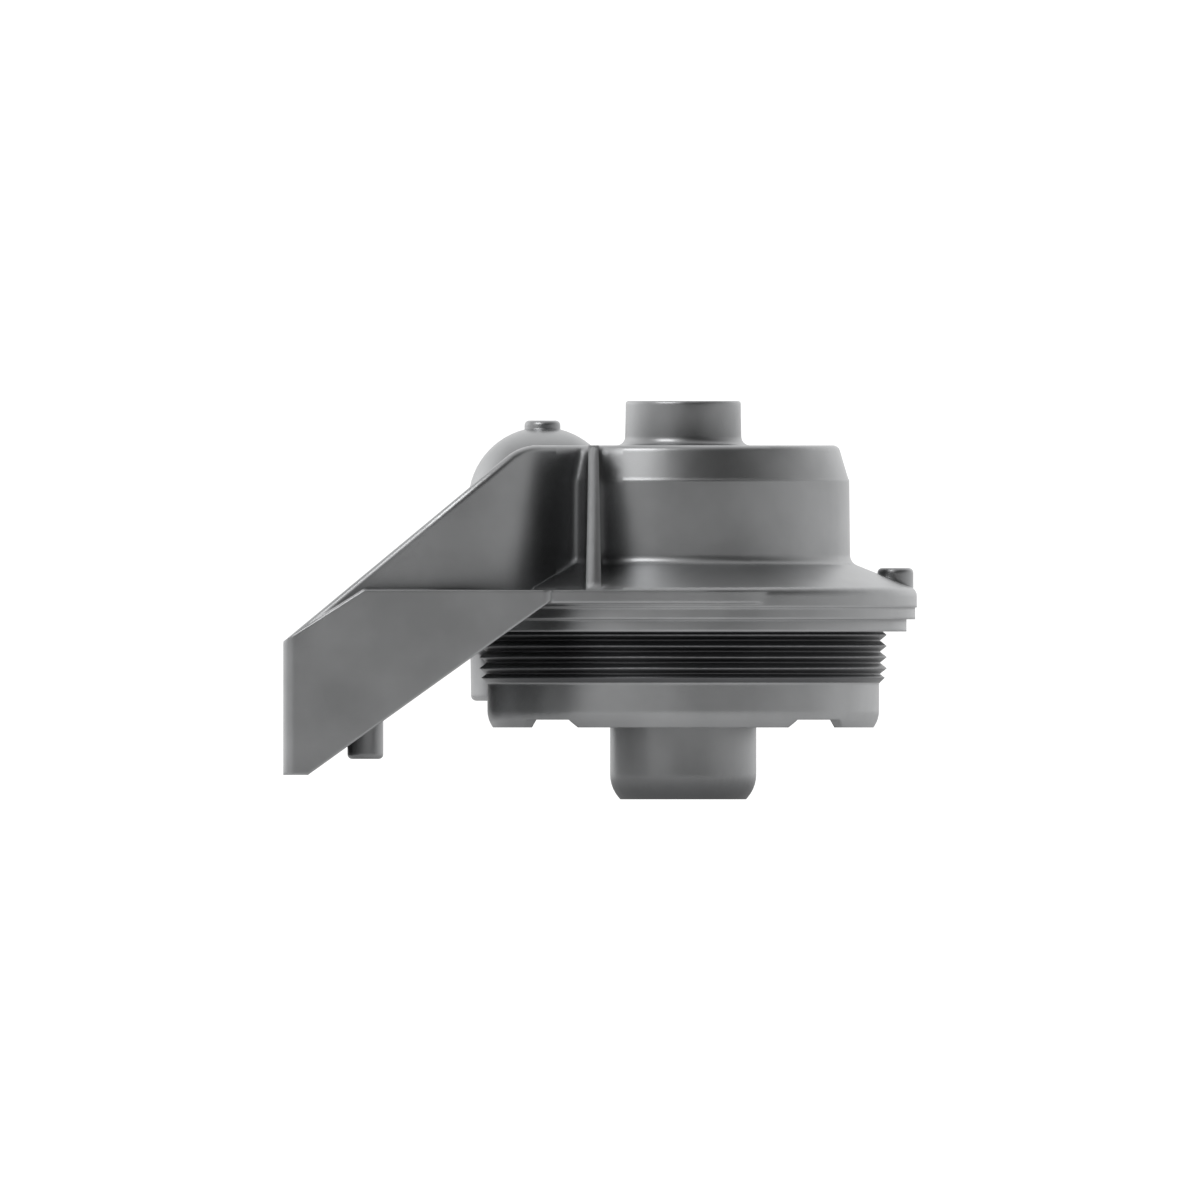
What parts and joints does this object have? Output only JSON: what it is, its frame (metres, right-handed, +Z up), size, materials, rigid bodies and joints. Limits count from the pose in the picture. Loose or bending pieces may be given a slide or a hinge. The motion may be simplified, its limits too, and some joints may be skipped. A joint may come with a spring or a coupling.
{
  "type": "filter head",
  "caption": "Cast aluminium filter head with wall bracket, bowl thread, notched skirt, element spigot and a side tower that holds the inlet check valve.",
  "frame": {"origin": "on the bowl thread's axis, in the plane of the seal face under the flange", "axes": "+Z up along the thread axis towards the outlet, -X towards the bolted face of the bracket, +Y towards the valve tower"},
  "size_m": [0.1711, 0.161, 0.1076],
  "materials": {
    "cast_aluminium": "as cast, blasted, matt",
    "turned_brass": "turned",
    "moulded_acetal": "moulded",
    "spring_steel": "drawn wire"
  },
  "bodies": {
    "head": {"head_casting": "cast_aluminium", "valve_seat": "turned_brass"},
    "poppet": {"valve_poppet": "moulded_acetal", "valve_spring": "spring_steel"}
  },
  "joints": [
    {"name": "poppet_lift", "type": "slide", "parent": "head", "child": "poppet", "axis": [0, 0, 1], "range_m": [0, 0.004], "stiffness_N_per_m": 150, "springref_m": -0.008, "deforming": ["valve_spring"]}
  ]
}
